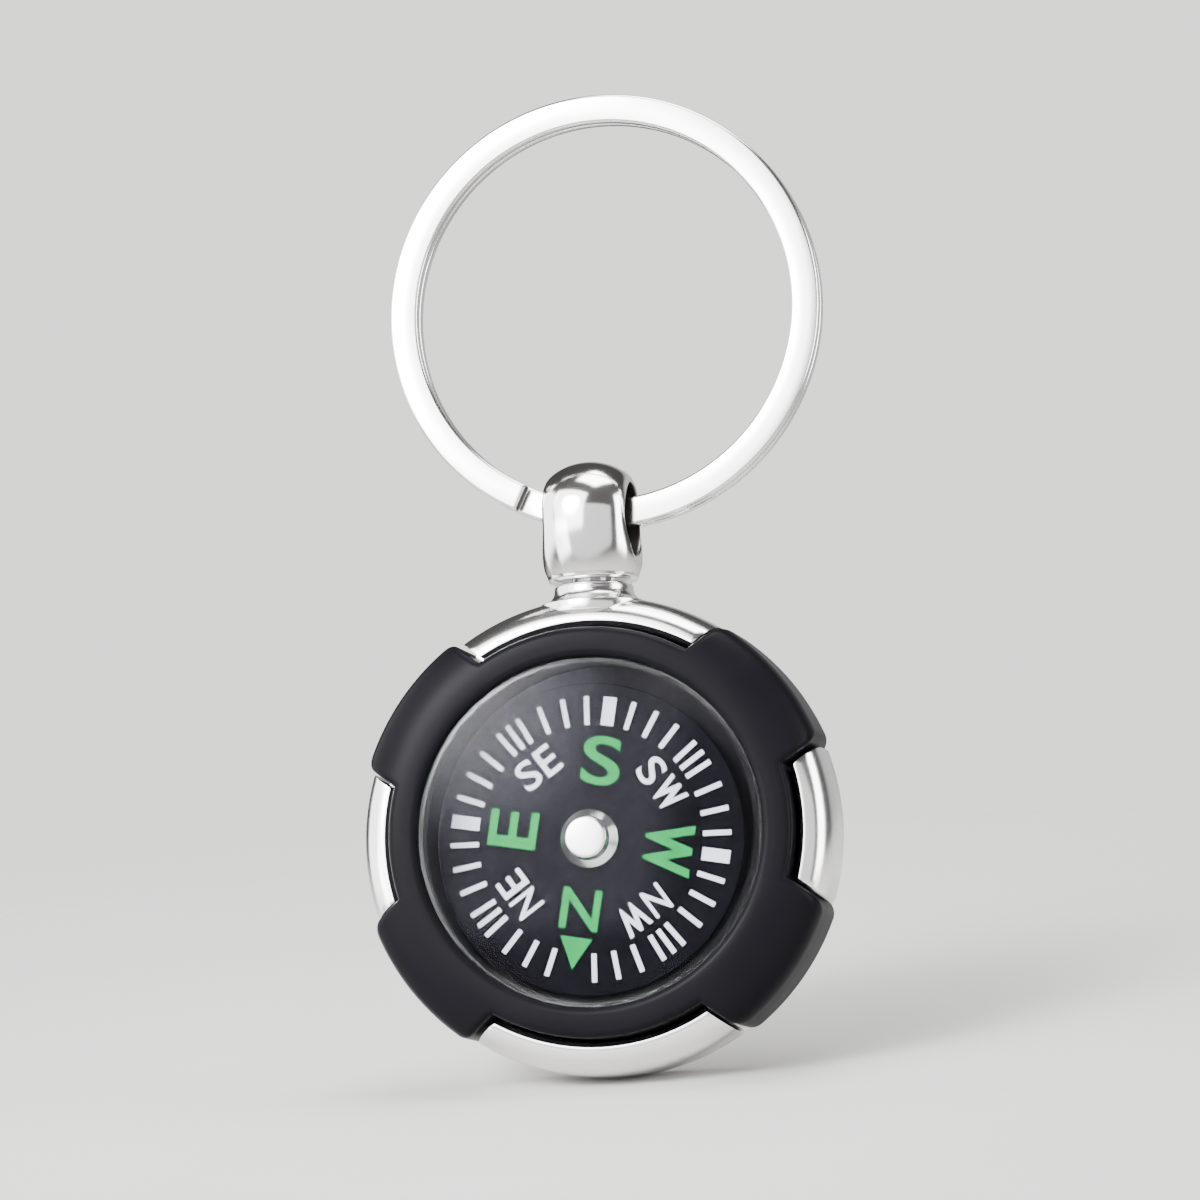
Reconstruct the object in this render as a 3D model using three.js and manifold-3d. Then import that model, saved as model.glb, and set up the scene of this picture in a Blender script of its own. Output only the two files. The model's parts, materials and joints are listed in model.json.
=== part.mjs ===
// Compass keychain: a split ring, a swivel head and a metal case that carries a turning-card compass.
// Millimetres, +Z up, the dial looks along -Y. It hangs from the inside of the split ring, at the origin.
import * as THREE from "three";
import { mergeVertices } from "three/addons/utils/BufferGeometryUtils.js";
import Module from "manifold-3d";

const wasm = await Module();
wasm.setup();

// Split ring: one flat wire wound twice, with a jog where it changes from the front turn to the back turn
const ringOuterDia = 30;
const wireWidth = 1.9;
const wireThickness = 0.8;
const wireEdge = 0.16;
const turnGap = 0.42;
const ringShift = 1.6; // the loose ring has slid this far to the right of the swivel axis
const ringEndAngle = 205; // cut end of the front turn, clockwise from the top, seen from the front
const jogAngle = 30;
const endSetBack = 1.5; // degrees that each cut end stops short of the jog

// Swivel head: a domed eye with a scooped flat on each side
const eyeClearance = 1.1; // room round the wire's corners for it to swing in the eye
const eyeDrop = 0.45; // the eye's centre lies this far below the wire
const eyeWall = 1.51;
const eyeRoof = 1.58;
const eyeFloor = 1.71;
const eyeMouthBevel = 0.4;
const headFlat = 3.1; // each side flat lies this far from the swivel axis
const scoopStart = 0.6; // the flats start to flare out this far below the wire
const scoopLip = 0.7; // round foot left below the flats
const footDia = 6.2;
const footEdge = 0.3;

// Swivel pin and its washer
const pinDia = 2.4;
const pinInHead = 1;
const pinFit = 0.15;
const swivelGap = 0.2;
const flareLip = 0.7; // the spread tail stands this far out from the pin
const flareThickness = 0.6;
const flareSunk = 0.2; // the tail lies this far below the wall's inner face
const washerLip = 0.55;
const washerThickness = 0.4;
const counterboreFit = 0.3;

// Case: a flat-backed cup whose wall is notched into four claws
const caseDia = 32.6;
const caseWall = 2.2;
const caseBack = 1;
const backRound = 2;
const clawFace = 0.75; // flat front of a claw
const clawInnerBevel = 0.35;
const clawBevelDepth = 1.1;
const bossWall = 1.2;
const bossHeight = 1;
const bossFlare = 0.6;
const bossEdge = 0.3;
const swivelFromBack = 3.3; // the swivel axis lies this far in front of the flat back

// Bezel: a black ring with four lobes that fill the notches between the claws
const bezelGap = 0.2;
const bezelSkirt = 0.9;
const lipWidth = 2.1;
const lipThickness = 1;
const faceStep = 1.6; // the bezel's face stands this far in front of the claws
const lobeWidth = 10.2;
const lobeAngle = 52.5; // from the vertical
const lobeProud = 0.2;
const lobeGap = 0.3;
const lobeCorner = 1.3;
const faceRound = 1.3; // the face starts to round over this far inside the bezel's edge
const lobeShoulder = 2.4;

// Capsule: lens, gasket and base
const seatGap = 0.1;
const lensCrown = 0.8;
const lensProud = 0.1;
const lensEdgeWidth = 0.75; // sloped edge between the crown and the bezel's lip
const lensEdgeDrop = 0.35;
const lensThickness = 0.9;
const lensFit = 0.1;
const gasketThickness = 0.5;
const baseFit = 0.2;
const baseWall = 1.1;
const baseFloor = 0.8;
const padDia = 21;
const padThickness = 0.5;

// Card and its bearing
const cardRoom = 1.1; // between the card's edge and the base's wall
const cardThickness = 0.4;
const cardHeight = 1.75; // underside of the card above the base's floor
const cardHole = 2.2;
const magnetOuterDia = 11;
const magnetRoom = 0.6; // between the magnet and the needle's boss
const magnetThickness = 0.8;
const needleShiftX = -0.6; // the needle stands off the capsule's middle, to the left and down
const needleShiftZ = -0.2;
const needleBossDia = 4;
const needleBossHeight = 0.8;
const needleDia = 0.8;
const needleTip = 0.9;
const needleTipDia = 0.14;
const needleInBoss = 1.1;
const hubDia = 4.1;
const hubTopDia = 2.9;
const hubHeight = 1.6;
const hubEdge = 0.3;
const hubWall = 0.45;
const hubRoom = 0.15; // between the hub's top and the edge of the lens
const jewelThickness = 0.8;
const jewelCupDia = 1.1;
const jewelCupDepth = 0.5;
const needleRoom = 0.2; // gap between the needle's tip and its cup

// Facets of a full circle
const largeRound = 72;
const middleRound = 44;
const headRound = 36;
const smallRound = 20;
const ringRound = 52;
const arcSteps = 5;
const over = 2; // how far a cutting body runs past what it cuts
const weldReach = 1e-4; // corners closer than this are one

// Radii and heights that follow from the sizes above
const ringMeanR = (ringOuterDia - wireWidth) / 2;
const ringInnerR = ringOuterDia / 2 - wireWidth;
const ringDepth = 2 * wireThickness + turnGap;
const ringZ = -Math.sqrt(ringInnerR ** 2 - ringShift ** 2);
const wireZ = ringZ - Math.sqrt(ringMeanR ** 2 - ringShift ** 2);

const eyeR = Math.hypot(wireWidth, ringDepth) / 2 + eyeClearance;
const headR = eyeR + eyeWall;
const headTop = eyeR + eyeRoof - eyeDrop;
const headFoot = -(eyeR + eyeFloor + eyeDrop);
const pinR = pinDia / 2;
const flareR = pinR + flareLip;
const washerR = pinR + pinFit + washerLip;
const bossR = pinR + counterboreFit + bossWall;

const caseR = caseDia / 2;
const boreR = caseR - caseWall;
const caseZ = wireZ + headFoot - swivelGap - bossHeight - caseR;
const flareZ = boreR + flareSunk + flareThickness;
const washerZ = flareZ + seatGap + washerThickness;
const counterboreZ = washerZ + seatGap;

const bezelR = boreR - bezelGap;
const skirtR = bezelR - bezelSkirt;
const lipR = bezelR - lipWidth;
const lobeR = caseR + lobeProud;
const baseR = skirtR - baseFit;
const wellR = baseR - baseWall;
const windowR = lipR - lensFit;
const cardR = wellR - cardRoom;
const needleBossR = needleBossDia / 2;

// Depths, from the back of the case towards the dial
const backY = swivelFromBack;
const floorY = backY - caseBack;
const padY = floorY - seatGap;
const baseY = padY - padThickness - seatGap;
const wellY = baseY - baseFloor;
const cardY = wellY - cardHeight;
const hubY = cardY - cardThickness - seatGap;
const jewelY = hubY - hubHeight + hubWall + jewelThickness + seatGap;
const needleY = jewelY - jewelCupDepth + needleRoom;
const lensY = hubY - hubHeight - hubRoom;
const gasketY = lensY + seatGap + gasketThickness;
const rimY = gasketY + seatGap;
const lipY = lensY - lensThickness - seatGap;
const faceY = lipY - lipThickness;
const clawY = faceY + faceStep;

// Geometry helpers

function welded(geometry) {
  const bare = geometry.clone();
  bare.deleteAttribute("normal");
  bare.deleteAttribute("uv");
  const merged = mergeVertices(bare, weldReach);
  const corners = merged.getIndex().array;
  const kept = [];
  for (let i = 0; i < corners.length; i += 3) {
    const [a, b, c] = corners.slice(i, i + 3);
    if (a !== b && b !== c && c !== a) kept.push(a, b, c);
  }
  merged.setIndex(kept);
  return merged;
}

function solid(geometry) {
  const mesh = welded(geometry);
  const vertProperties = new Float32Array(mesh.getAttribute("position").array);
  const triVerts = new Uint32Array(mesh.getIndex().array);
  return new wasm.Manifold(new wasm.Mesh({ numProp: 3, vertProperties, triVerts }));
}

function surface(body) {
  const { vertProperties, triVerts } = body.getMesh();
  const geometry = new THREE.BufferGeometry();
  geometry.setAttribute("position", new THREE.BufferAttribute(vertProperties, 3));
  geometry.setIndex(new THREE.BufferAttribute(triVerts, 1));
  return geometry;
}

// A revolve about Y of [radius, y] pairs, listed so that y falls along the outside
function revolve(profile, facets) {
  const points = profile.map(([radius, y]) => new THREE.Vector2(radius, y)).reverse();
  return new THREE.LatheGeometry(points, facets);
}

// The same about Z, of [radius, z] pairs
function turned(profile, facets) {
  return revolve(profile, facets).rotateX(Math.PI / 2);
}

// A quarter of an ellipse between two [radius, height] pairs, leaving the first one along the axis
function quarter([r0, h0], [r1, h1]) {
  const points = [];
  for (let i = 0; i <= arcSteps; i += 1) {
    const turn = (i / arcSteps) * (Math.PI / 2);
    points.push([r1 + (r0 - r1) * Math.cos(turn), h0 + (h1 - h0) * Math.sin(turn)]);
  }
  return points;
}

// A closed ring's profile of a plain rectangle
function band(innerR, outerR, backY, frontY) {
  return [[outerR, backY], [outerR, frontY], [innerR, frontY], [innerR, backY], [outerR, backY]];
}

// A flat outline in X and Z, carried from one depth to another
function slab(shape, nearY, farY) {
  const options = { depth: farY - nearY, bevelEnabled: false, curveSegments: arcSteps };
  const geometry = new THREE.ExtrudeGeometry(shape, options);
  return geometry.rotateX(Math.PI / 2).translate(0, farY, 0);
}

function finish(colour, roughness, metalness) {
  return new THREE.MeshStandardMaterial({ color: colour, roughness, metalness });
}

function named(name, geometry, material) {
  const mesh = new THREE.Mesh(geometry, material);
  mesh.name = name;
  return mesh;
}

// Finishes

const brightNickel = () => finish(0xdad6d4, 0.18, 1);
const satinNickel = () => finish(0xcfc9c8, 0.32, 1);
const steel = () => finish(0x9a9a9c, 0.35, 1);
const blackPlastic = () => finish(0x24252a, 0.42, 0);
const clearPlastic = () => finish(0xe8edf0, 0.05, 0);
const blackRubber = () => finish(0x151515, 0.85, 0);
const cardBlack = () => finish(0x101114, 0.55, 0);
const magnetGrey = () => finish(0x55575a, 0.5, 0.6);
const jewelRed = () => finish(0xa03040, 0.1, 0);
const padGrey = () => finish(0x8c8c88, 0.9, 0);

// Split ring

function wireSection() {
  const w = wireWidth / 2;
  const t = wireThickness / 2;
  return [
    [-w + wireEdge, -t], [w - wireEdge, -t], [w, -t + wireEdge], [w, t - wireEdge],
    [w - wireEdge, t], [-w + wireEdge, t], [-w, t - wireEdge], [-w, -t + wireEdge],
  ];
}

// Depth of the wire's middle along its run: front turn, jog, back turn
function wireDepth(run) {
  const layer = (wireThickness + turnGap) / 2;
  const along = THREE.MathUtils.clamp((run - (360 - jogAngle)) / jogAngle, 0, 1);
  return layer * (2 * THREE.MathUtils.smoothstep(along, 0, 1) - 1);
}

function wireRings() {
  const section = wireSection();
  const first = endSetBack;
  const last = 720 - jogAngle - endSetBack;
  const steps = Math.round(((last - first) / 360) * ringRound);
  const rings = [];
  for (let i = 0; i <= steps; i += 1) {
    const run = first + ((last - first) * i) / steps;
    const turn = THREE.MathUtils.degToRad(ringEndAngle + run);
    const depth = wireDepth(run);
    rings.push(section.map(([across, through]) => new THREE.Vector3(
      (ringMeanR + across) * Math.sin(turn),
      depth + through,
      (ringMeanR + across) * Math.cos(turn),
    )));
  }
  return rings;
}

// Least distance between points of the wire that lie at least half a turn apart along it
function leastTurnGap(rings) {
  let least = Infinity;
  for (let i = 0; i < rings.length; i += 1) {
    for (let j = i + Math.round(ringRound / 2); j < rings.length; j += 1) {
      for (const a of rings[i]) {
        for (const b of rings[j]) least = Math.min(least, a.distanceTo(b));
      }
    }
  }
  return least;
}

function splitRing() {
  const rings = wireRings();
  const sides = rings[0].length;
  const positions = rings.flat().flatMap((point) => point.toArray());
  const faces = [];
  for (let i = 0; i + 1 < rings.length; i += 1) {
    for (let k = 0; k < sides; k += 1) {
      const a = i * sides + k;
      const b = i * sides + ((k + 1) % sides);
      faces.push(a, a + sides, b, b, a + sides, b + sides);
    }
  }
  const end = (rings.length - 1) * sides;
  for (let k = 1; k + 1 < sides; k += 1) {
    faces.push(0, k, k + 1, end, end + k + 1, end + k);
  }
  const geometry = new THREE.BufferGeometry();
  geometry.setAttribute("position", new THREE.Float32BufferAttribute(positions, 3));
  geometry.setIndex(faces);
  console.log(`split ring: least gap between turns ${leastTurnGap(rings).toFixed(3)} mm`);
  return geometry;
}

// Swivel head, with the wire's middle at its origin

function headBlank() {
  const footR = footDia / 2;
  const dome = quarter([headR, 0], [0, headTop]).reverse();
  const taper = [];
  for (let i = 1; i <= arcSteps; i += 1) {
    const share = i / arcSteps;
    taper.push([headR - (headR - footR) * share ** 2, (headFoot + footEdge) * share]);
  }
  return turned([...dome, ...taper, [footR - footEdge, headFoot], [0, headFoot]], headRound);
}

// The side flat runs straight down past the wire, then flares out to the round foot
function sideScoop() {
  const edge = headR + over;
  const bottom = headFoot + scoopLip;
  const shape = new THREE.Shape();
  shape.moveTo(headFlat, headTop + over);
  shape.lineTo(headFlat, -scoopStart);
  shape.quadraticCurveTo(headFlat, bottom, edge, bottom);
  shape.lineTo(edge, headTop + over);
  return slab(shape, -edge, edge);
}

function eyeCut() {
  const reach = headR + over;
  const mouth = headFlat - eyeMouthBevel;
  const flare = eyeR + reach - mouth;
  const profile = [[0, reach], [flare, reach], [eyeR, mouth], [eyeR, -mouth], [flare, -reach], [0, -reach]];
  return revolve(profile, headRound).rotateZ(Math.PI / 2).translate(0, 0, -eyeDrop);
}

function swivelHead() {
  const bore = pinR + pinFit;
  const boreTop = headFoot + pinInHead + pinFit;
  const boreFoot = headFoot - over;
  const pinHole = turned([[0, boreTop], [bore, boreTop], [bore, boreFoot], [0, boreFoot]], smallRound);
  const scoop = solid(sideScoop());
  return surface(solid(headBlank())
    .subtract(scoop)
    .subtract(scoop.mirror([1, 0, 0]))
    .subtract(solid(eyeCut()))
    .subtract(solid(pinHole)));
}

// The pin's tail is spread over the washer inside the case wall
function swivelPin() {
  const top = headFoot + pinInHead;
  const flareTop = caseZ - wireZ + flareZ;
  const flareFoot = flareTop - flareThickness;
  return turned([
    [0, top], [pinR - footEdge, top], [pinR, top - footEdge], [pinR, flareTop], [flareR, flareTop],
    [flareR, flareFoot + footEdge], [flareR - footEdge, flareFoot], [0, flareFoot],
  ], smallRound);
}

function pinWasher() {
  const top = caseZ - wireZ + washerZ;
  return turned(band(pinR + pinFit, washerR, top, top - washerThickness), smallRound);
}

// Case, with its axis along Y through its own origin

function caseCup() {
  const outerFaceR = boreR + clawInnerBevel + clawFace;
  return revolve([
    [0, backY], ...quarter([caseR, backY - backRound], [caseR - backRound, backY]).reverse(),
    ...quarter([caseR, clawY + clawBevelDepth], [outerFaceR, clawY]),
    [boreR + clawInnerBevel, clawY], [boreR, clawY + clawInnerBevel],
    [boreR, floorY], [0, floorY],
  ], largeRound);
}

// A straight bar from the axis outwards, at a clockwise angle from the top
function lobeBar(width, reach, corner, nearY, farY, degrees) {
  const half = width / 2;
  const shape = new THREE.Shape();
  shape.moveTo(-half, 0);
  shape.lineTo(half, 0);
  shape.lineTo(half, reach - 2 * corner);
  shape.quadraticCurveTo(half, reach, half - corner, reach);
  shape.lineTo(corner - half, reach);
  shape.quadraticCurveTo(-half, reach, -half, reach - 2 * corner);
  return slab(shape, nearY, farY).rotateY(THREE.MathUtils.degToRad(degrees));
}

const lobeAngles = [lobeAngle, 180 - lobeAngle, 180 + lobeAngle, -lobeAngle];

// The boss under the head flares into the case wall
function bossBlank() {
  const top = caseR + bossHeight;
  const root = caseR - caseWall / 2;
  return turned([
    [0, top], [bossR - bossEdge, top], [bossR, top - bossEdge],
    ...quarter([bossR, caseR + bossFlare], [bossR + bossFlare, caseR]),
    [bossR + bossFlare, root], [0, root],
  ], headRound);
}

function caseBody() {
  const notches = lobeAngles.map((degrees) => solid(
    lobeBar(lobeWidth + 2 * lobeGap, lobeR + over, 0, clawY - over, floorY, degrees),
  ));
  const outside = caseR + bossHeight + over;
  const inside = boreR - over;
  const hole = pinR + counterboreFit;
  const well = Math.max(flareR, washerR) + counterboreFit;
  const pinPassage = turned([
    [0, outside], [hole, outside], [hole, counterboreZ], [well, counterboreZ], [well, inside], [0, inside],
  ], smallRound);
  const cup = notches.reduce((body, notch) => body.subtract(notch), solid(caseCup()));
  return surface(cup.add(solid(bossBlank())).subtract(solid(pinPassage)));
}

// Bezel

function bezelBlank() {
  const footY = floorY - lobeGap;
  const flatR = bezelR - faceRound;
  return revolve([
    [0, footY], [lobeR - footEdge, footY], [lobeR, footY - footEdge],
    ...quarter([lobeR, faceY + lobeShoulder], [flatR, faceY]),
    [0, faceY],
  ], largeRound);
}

function bezelOutline() {
  const frontY = faceY - over;
  const disc = solid(revolve([[0, floorY], [bezelR, floorY], [bezelR, frontY], [0, frontY]], largeRound));
  return lobeAngles.reduce((body, degrees) => body.add(solid(
    lobeBar(lobeWidth, lobeR, lobeCorner, frontY, floorY, degrees),
  )), disc);
}

function bezel() {
  const bore = revolve([
    [0, backY], [skirtR, backY], [skirtR, lipY], [lipR, lipY], [lipR, faceY - over], [0, faceY - over],
  ], largeRound);
  return surface(solid(bezelBlank()).intersect(bezelOutline()).subtract(solid(bore)));
}

// Lens with a flange under the bezel's lip and a low crown through its opening

function lens() {
  const crownY = faceY - lensProud;
  const underR = wellR - lensFit;
  return revolve([
    [baseR, lensY], [baseR, lensY - lensThickness], [windowR, lensY - lensThickness],
    [windowR, crownY + lensEdgeDrop], [windowR - lensEdgeWidth, crownY],
    ...crown(windowR - lensEdgeWidth, crownY, lensCrown),
    ...crown(underR, lensY, lensCrown).reverse(),
    [underR, lensY], [baseR, lensY],
  ], middleRound);
}

// Points of a low dome from its edge to the axis
function crown(edgeR, edgeY, rise) {
  const points = [];
  for (let i = 1; i <= arcSteps; i += 1) {
    const share = 1 - i / arcSteps;
    points.push([edgeR * share, edgeY - rise * (1 - share ** 2)]);
  }
  return points;
}

function gasket() {
  return revolve(band(wellR, baseR, gasketY, gasketY - gasketThickness), middleRound);
}

function capsuleBase() {
  const rootY = (baseY + wellY) / 2;
  const bossY = wellY - needleBossHeight;
  const hole = needleDia / 2 + pinFit;
  const holeY = bossY + needleInBoss + pinFit;
  const cup = revolve([
    [0, baseY], [baseR, baseY], [baseR, rimY], [wellR, rimY], [wellR, wellY], [0, wellY],
  ], middleRound);
  const boss = revolve([[0, rootY], [needleBossR, rootY], [needleBossR, bossY], [0, bossY]], middleRound);
  const bore = revolve([[0, holeY], [hole, holeY], [hole, bossY - over], [0, bossY - over]], smallRound);
  const shift = [needleShiftX, 0, needleShiftZ];
  return surface(solid(cup).add(solid(boss).translate(shift)).subtract(solid(bore).translate(shift)));
}

function adhesivePad() {
  const frontY = padY - padThickness;
  return revolve([[0, padY], [padDia / 2, padY], [padDia / 2, frontY], [0, frontY]], middleRound);
}

function needle() {
  const foot = wellY - needleBossHeight + needleInBoss;
  return revolve([
    [0, foot], [needleDia / 2, foot], [needleDia / 2, needleY + needleTip],
    [needleTipDia / 2, needleY], [0, needleY],
  ], smallRound);
}

// Card and the pieces that turn with it

function dialCard() {
  return revolve(band(cardHole / 2, cardR, cardY, cardY - cardThickness), largeRound);
}

function cardMagnet() {
  const backFace = cardY + seatGap + magnetThickness;
  const innerR = needleBossR + magnetRoom;
  return revolve(band(innerR, magnetOuterDia / 2, backFace, cardY + seatGap), middleRound);
}

function hubCap() {
  const topY = hubY - hubHeight;
  const socketR = hubTopDia / 2 - hubWall;
  return revolve([
    [hubDia / 2, hubY], [hubDia / 2, hubY - hubEdge],
    [hubTopDia / 2, topY + hubEdge], [hubTopDia / 2 - hubEdge, topY], [0, topY],
    [0, topY + hubWall], [socketR, topY + hubWall], [socketR, hubY], [hubDia / 2, hubY],
  ], smallRound);
}

function jewel() {
  const outerR = hubTopDia / 2 - hubWall - seatGap;
  const cupR = jewelCupDia / 2;
  return revolve([
    [cupR, jewelY], [outerR, jewelY], [outerR, jewelY - jewelThickness], [0, jewelY - jewelThickness],
    [0, jewelY - jewelCupDepth], [cupR, jewelY],
  ], smallRound);
}

// Assembly

const keychain = new THREE.Group();

const ring = new THREE.Group();
ring.position.set(ringShift, 0, ringZ);
ring.add(named("split_ring", splitRing(), brightNickel()));

const head = new THREE.Group();
head.position.set(0, 0, wireZ);
head.add(
  named("swivel_head", swivelHead(), brightNickel()),
  named("swivel_pin", swivelPin(), steel()),
  named("pin_washer", pinWasher(), steel()),
);

const compass = new THREE.Group();
compass.position.set(0, 0, caseZ);
compass.add(
  named("case", caseBody(), satinNickel()),
  named("capsule_bezel", bezel(), blackPlastic()),
  named("lens", lens(), clearPlastic()),
  named("lens_gasket", gasket(), blackRubber()),
  named("capsule_base", capsuleBase(), blackPlastic()),
  named("adhesive_pad", adhesivePad(), padGrey()),
);

const movement = new THREE.Group();
movement.position.set(needleShiftX, 0, caseZ + needleShiftZ);
movement.add(
  named("pivot_needle", needle(), steel()),
  named("dial_card", dialCard(), cardBlack()),
  named("card_magnet", cardMagnet(), magnetGrey()),
  named("hub_cap", hubCap(), brightNickel()),
  named("pivot_jewel", jewel(), jewelRed()),
);

keychain.add(ring, head, compass, movement);

export default keychain;
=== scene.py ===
import json
import math

import bmesh
import bpy
from mathutils import Matrix, Vector


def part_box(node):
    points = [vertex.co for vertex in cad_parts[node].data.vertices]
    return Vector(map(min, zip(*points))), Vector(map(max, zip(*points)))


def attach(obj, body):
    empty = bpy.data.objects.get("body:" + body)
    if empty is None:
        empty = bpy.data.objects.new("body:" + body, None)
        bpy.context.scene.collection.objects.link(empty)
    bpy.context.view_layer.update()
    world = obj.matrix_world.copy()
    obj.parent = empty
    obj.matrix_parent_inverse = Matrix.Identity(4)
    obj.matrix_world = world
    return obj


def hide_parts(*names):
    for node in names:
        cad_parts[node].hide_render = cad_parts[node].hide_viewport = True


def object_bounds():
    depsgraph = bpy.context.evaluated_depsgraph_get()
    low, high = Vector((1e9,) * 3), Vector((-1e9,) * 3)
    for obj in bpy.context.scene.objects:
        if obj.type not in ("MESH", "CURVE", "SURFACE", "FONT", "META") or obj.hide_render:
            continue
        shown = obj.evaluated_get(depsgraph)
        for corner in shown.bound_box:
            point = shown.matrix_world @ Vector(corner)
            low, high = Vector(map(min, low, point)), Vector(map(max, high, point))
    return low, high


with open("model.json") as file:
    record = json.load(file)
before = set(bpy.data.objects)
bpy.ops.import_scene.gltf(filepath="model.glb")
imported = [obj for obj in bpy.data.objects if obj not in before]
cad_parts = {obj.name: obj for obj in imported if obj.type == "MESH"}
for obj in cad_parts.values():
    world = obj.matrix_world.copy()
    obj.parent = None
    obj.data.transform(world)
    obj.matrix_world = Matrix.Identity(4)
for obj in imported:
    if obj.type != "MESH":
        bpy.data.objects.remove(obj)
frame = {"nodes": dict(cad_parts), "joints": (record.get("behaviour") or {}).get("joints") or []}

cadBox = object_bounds()
mm = 0.001
fullTurn = 2 * math.pi
weld = 1e-7  # vertices nearer than this, in metres, are one
alongY = Vector((0, 1, 0))
alongZ = Vector((0, 0, 1))
jointPlaces = {joint["name"]: Vector(joint["pos_m"]) for joint in frame["joints"]}
wirePoint = jointPlaces["ring_swing"]  # where the ring goes through the head's eye
cardCentre = jointPlaces["card_spin"]  # the needle that the card turns on
lensLow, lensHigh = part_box("lens")
caseCentre = Vector((0, 0, (lensLow.z + lensHigh.z) / 2))  # middle of the round case


# Mesh helpers

def drawWire(bm, points, place, closed=False, cornerSteps=5):
    # points are (out, along, corner) in mm, and corner is how far a rounded corner reaches
    verts = [bm.verts.new(place(out, along)) for out, along, corner in points]
    pairs = list(zip(verts, verts[1:]))
    if closed:
        pairs.append((verts[-1], verts[0]))
    for pair in pairs:
        bm.edges.new(pair)
    for vert, (out, along, corner) in zip(verts, points):
        if corner:
            bmesh.ops.bevel(
                bm, geom=[vert], offset=corner * mm, affect="VERTICES",
                segments=cornerSteps, profile=0.5, material=-1,
            )


def tidyFaces(bm):
    bmesh.ops.remove_doubles(bm, verts=bm.verts[:], dist=weld)
    bmesh.ops.recalc_face_normals(bm, faces=bm.faces[:])


def spunAbout(axis, centre, points, steps, closed=False):
    # a turned form: (radius, depth) about Y, or (radius, height) about Z
    # depths and heights are counted from the frame's origin
    def place(out, along):
        spot = Vector((centre.x + out * mm, centre.y, centre.z))
        if axis is alongY:
            spot.y = along * mm
        else:
            spot.z = along * mm
        return spot

    bm = bmesh.new()
    drawWire(bm, points, place, closed)
    bmesh.ops.spin(
        bm, geom=bm.verts[:] + bm.edges[:], cent=centre, axis=axis, dvec=(0, 0, 0),
        angle=fullTurn, steps=steps, use_merge=True, use_duplicate=False,
    )
    tidyFaces(bm)
    return bm


def boreProfile(radius, top, bottom):
    return [(0, top, 0), (radius, top, 0), (radius, bottom, 0), (0, bottom, 0)]


def nextLoop(bm, loop, places):
    # extrudes a closed loop of vertices and moves the new loop to its places
    edges = [bm.edges.get((a, b)) for a, b in zip(loop, loop[1:] + loop[:1])]
    made = bmesh.ops.extrude_edge_only(bm, edges=edges)["geom"]
    fresh = {item for item in made if isinstance(item, bmesh.types.BMVert)}
    twins = []
    for vert in loop:
        near = [edge.other_vert(vert) for edge in vert.link_edges]
        twins.append(next(other for other in near if other in fresh))
    for twin, spot in zip(twins, places):
        twin.co = spot
    return twins


def looseObject(name, bm):
    mesh = bpy.data.meshes.new(name)
    bm.to_mesh(mesh)
    bm.free()
    obj = bpy.data.objects.new(name, mesh)
    bpy.context.scene.collection.objects.link(obj)
    return obj


def cutWith(obj, cutter, operation):
    step = obj.modifiers.new(operation, "BOOLEAN")
    step.operation = operation
    step.solver = "EXACT"
    step.object = cutter


def applied(obj, cutters):
    bpy.context.view_layer.update()
    seen = obj.evaluated_get(bpy.context.evaluated_depsgraph_get())
    mesh = bpy.data.meshes.new_from_object(seen)
    obj.modifiers.clear()
    bm = bmesh.new()
    bm.from_mesh(mesh)
    bmesh.ops.dissolve_degenerate(bm, dist=weld, edges=bm.edges[:])  # slivers along the cuts
    bm.to_mesh(mesh)
    bm.free()
    obj.data = mesh
    for cutter in cutters:
        bpy.data.objects.remove(cutter)
    return obj


def dress(obj, body, material, stands=(), sharp=32):
    mesh = obj.data
    mesh.materials.clear()
    mesh.materials.append(material)
    mesh.shade_smooth()
    if sharp:
        mesh.set_sharp_from_angle(angle=math.radians(sharp))
    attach(obj, body)
    if stands:
        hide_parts(*stands)
    return obj


# Material helpers

def newSurface(name, values):
    material = bpy.data.materials.new(name)
    material.use_nodes = True
    shader = material.node_tree.nodes["Principled BSDF"]
    for socket, value in values.items():
        shader.inputs[socket].default_value = value
    return material, material.node_tree, shader


def addNode(tree, kind, **values):
    node = tree.nodes.new(kind)
    for key, value in values.items():
        setattr(node, key, value)
    return node


def addGroup(tree, group, values):
    node = tree.nodes.new("ShaderNodeGroup")
    node.node_tree = group
    for socket, value in values.items():
        node.inputs[socket].default_value = value
    return node


def newGroup(name, numbers, outputs):
    group = bpy.data.node_groups.new(name, "ShaderNodeTree")
    for socket, value in numbers.items():
        made = group.interface.new_socket(socket, in_out="INPUT", socket_type="NodeSocketFloat")
        made.default_value = value
    for socket in outputs:
        group.interface.new_socket(socket, in_out="OUTPUT", socket_type="NodeSocketFloat")
    return group, group.nodes.new("NodeGroupInput"), group.nodes.new("NodeGroupOutput")


speckleScale = {"Cloud": 300.0, "Fine": 9000.0}
speckleDetail = {"Cloud": 3.0, "Fine": 2.0}


def speckleGroup():
    # soft clouding with fine specks over it, both from 0 to 1
    group, given, put = newGroup("finishSpeckle", speckleScale, list(speckleScale))
    spot = addNode(group, "ShaderNodeTexCoord")
    for name, detail in speckleDetail.items():
        noise = addNode(group, "ShaderNodeTexNoise")
        noise.inputs["Detail"].default_value = detail
        group.links.new(spot.outputs["Object"], noise.inputs["Vector"])
        group.links.new(given.outputs[name], noise.inputs["Scale"])
        group.links.new(noise.outputs["Fac"], put.inputs[name])
    return group


hairSizes = {"bendScale": 220.0, "bend": 0.0012, "patchScale": 500.0, "patchFrom": 0.58}


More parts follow.
